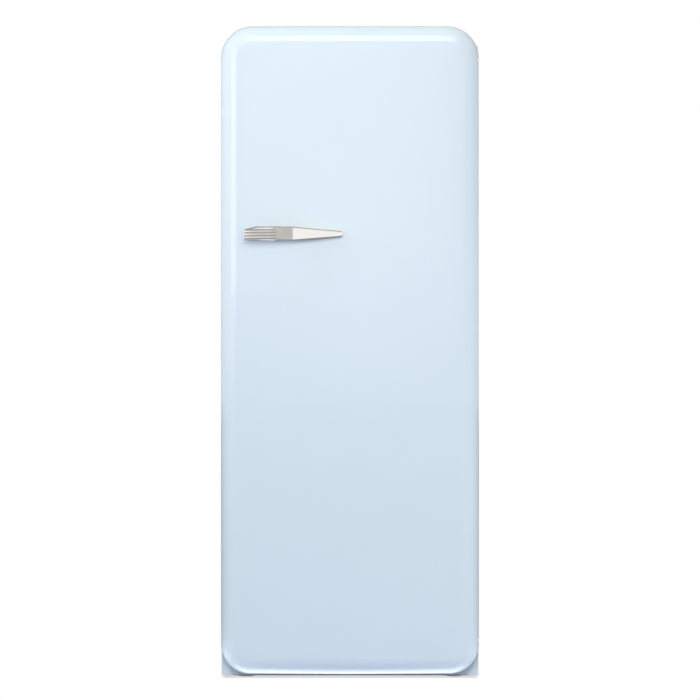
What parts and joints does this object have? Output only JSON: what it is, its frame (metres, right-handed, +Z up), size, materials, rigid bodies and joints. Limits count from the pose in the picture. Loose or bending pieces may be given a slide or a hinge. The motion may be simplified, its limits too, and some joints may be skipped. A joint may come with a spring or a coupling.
{
  "type": "single-door refrigerator",
  "caption": "Tall round-edged refrigerator with a crowned door, a bar handle, an ice box with its own flap at the top, glass shelves, a wire bottle rack, drawers and door bins.",
  "frame": {"origin": "on the floor, midway between the sides and midway between the handle's front and the wall spacers' backs", "axes": "+X to the right seen from the front, +Y to the back, +Z up; the door faces -Y"},
  "size_m": [0.601, 0.728, 1.522],
  "materials": {
    "blue_enamel": "gloss",
    "black_sheet": "satin",
    "zinc_sheet": "satin",
    "foam": "matte",
    "white_liner": "satin",
    "white_plastic": "satin",
    "hinge_steel": "satin",
    "chrome": "polished",
    "evaporator": "satin",
    "shelf_glass": "gloss",
    "clear_plastic": "gloss",
    "frosted_lens": "satin",
    "circuit_board": "satin",
    "black_plastic": "matte",
    "gasket": "matte",
    "grommet": "matte",
    "compressor": "satin",
    "copper": "satin",
    "condenser": "satin",
    "nylon": "matte",
    "roller": "matte"
  },
  "bodies": {
    "cabinet": {"cabinet_shell": "blue_enamel", "back_panel": "black_sheet", "base_pan": "zinc_sheet", "front_base_rail": "blue_enamel", "insulation_foam": "foam", "inner_liner": "white_liner", "niche_panel": "zinc_sheet", "hinge_brackets": "hinge_steel", "hinge_pins": "hinge_steel", "hinge_screws": "hinge_steel", "icebox_evaporator": "evaporator", "icebox_frame": "white_plastic", "icebox_hangers": "white_plastic", "crisper_cover_glass": "shelf_glass", "chill_shelf_glass": "shelf_glass", "lower_shelf_glass": "shelf_glass", "middle_shelf_glass": "shelf_glass", "upper_shelf_glass": "shelf_glass", "shelf_front_trims": "chrome", "shelf_rear_trims": "white_plastic", "wine_rack": "chrome", "control_housing": "white_plastic", "lamp_lens": "frosted_lens", "lamp_board": "circuit_board", "thermostat": "black_plastic", "compressor": "compressor", "compressor_rail": "zinc_sheet", "compressor_grommets": "grommet", "relay_box": "black_plastic", "evaporating_tray": "black_plastic", "condenser_tube": "condenser", "condenser_wires": "condenser", "condenser_brackets": "black_plastic", "wall_spacers": "black_plastic", "filter_drier": "copper", "capillary_tube": "copper", "refrigerant_pipes": "copper", "mains_inlet": "black_plastic", "roller_axles": "hinge_steel"},
    "door": {"door_skin": "blue_enamel", "door_foam": "foam", "door_liner": "white_liner", "door_gasket": "gasket", "hinge_bushes": "nylon", "handle": "chrome", "handle_screws": "hinge_steel", "bottle_bin": "clear_plastic", "bottle_rail": "chrome", "lower_bin": "clear_plastic", "upper_bin": "clear_plastic", "dairy_bin": "clear_plastic"},
    "dairy_lid": {"dairy_lid": "clear_plastic"},
    "icebox_flap": {"icebox_flap": "white_plastic"},
    "crisper_drawer": {"crisper_drawer": "clear_plastic"},
    "chill_drawer": {"chill_drawer": "clear_plastic"},
    "thermostat_dial": {"thermostat_dial": "white_plastic"},
    "left_roller": {"left_roller": "roller"},
    "right_roller": {"right_roller": "roller"},
    "left_front_foot": {"left_front_foot": "nylon"},
    "right_front_foot": {"right_front_foot": "nylon"}
  },
  "joints": [
    {"name": "door_hinge", "type": "hinge", "parent": "cabinet", "child": "door", "pos_m": [0.2805, -0.262, 0.764], "axis": [0, 0, 1], "range_deg": [0, 105]},
    {"name": "dairy_lid_hinge", "type": "hinge", "parent": "door", "child": "dairy_lid", "pos_m": [0, -0.238, 1.294], "axis": [1, 0, 0], "range_deg": [0, 75]},
    {"name": "icebox_flap_hinge", "type": "hinge", "parent": "cabinet", "child": "icebox_flap", "pos_m": [0.222, -0.112, 1.349], "axis": [0, 0, 1], "range_deg": [0, 75.1]},
    {"name": "crisper_slide", "type": "slide", "parent": "cabinet", "child": "crisper_drawer", "axis": [0, -1, 0], "range_m": [0, 0.1901]},
    {"name": "chill_slide", "type": "slide", "parent": "cabinet", "child": "chill_drawer", "axis": [0, -1, 0], "range_m": [0, 0.1901]},
    {"name": "thermostat_turn", "type": "hinge", "parent": "cabinet", "child": "thermostat_dial", "pos_m": [0.2115, 0.081, 1.185], "axis": [-1, 0, 0], "range_deg": [0, 270]},
    {"name": "left_roller_spin", "type": "hinge", "parent": "cabinet", "child": "left_roller", "pos_m": [-0.2665, 0.296, 0.022], "axis": [1, 0, 0], "continuous": true},
    {"name": "right_roller_spin", "type": "hinge", "parent": "cabinet", "child": "right_roller", "pos_m": [0.2665, 0.296, 0.022], "axis": [1, 0, 0], "continuous": true},
    {"name": "left_foot_screw", "type": "slide", "parent": "cabinet", "child": "left_front_foot", "axis": [0, 0, 1], "range_m": [-0.02, 0]},
    {"name": "right_foot_screw", "type": "slide", "parent": "cabinet", "child": "right_front_foot", "axis": [0, 0, 1], "range_m": [-0.02, 0]}
  ],
  "couplings": [
    {"joint": "icebox_flap_hinge", "follows": "door_hinge", "ratio": 0.71429},
    {"joint": "crisper_slide", "follows": "door_hinge", "m_per_rad": 0.10368},
    {"joint": "chill_slide", "follows": "door_hinge", "m_per_rad": 0.10368}
  ]
}
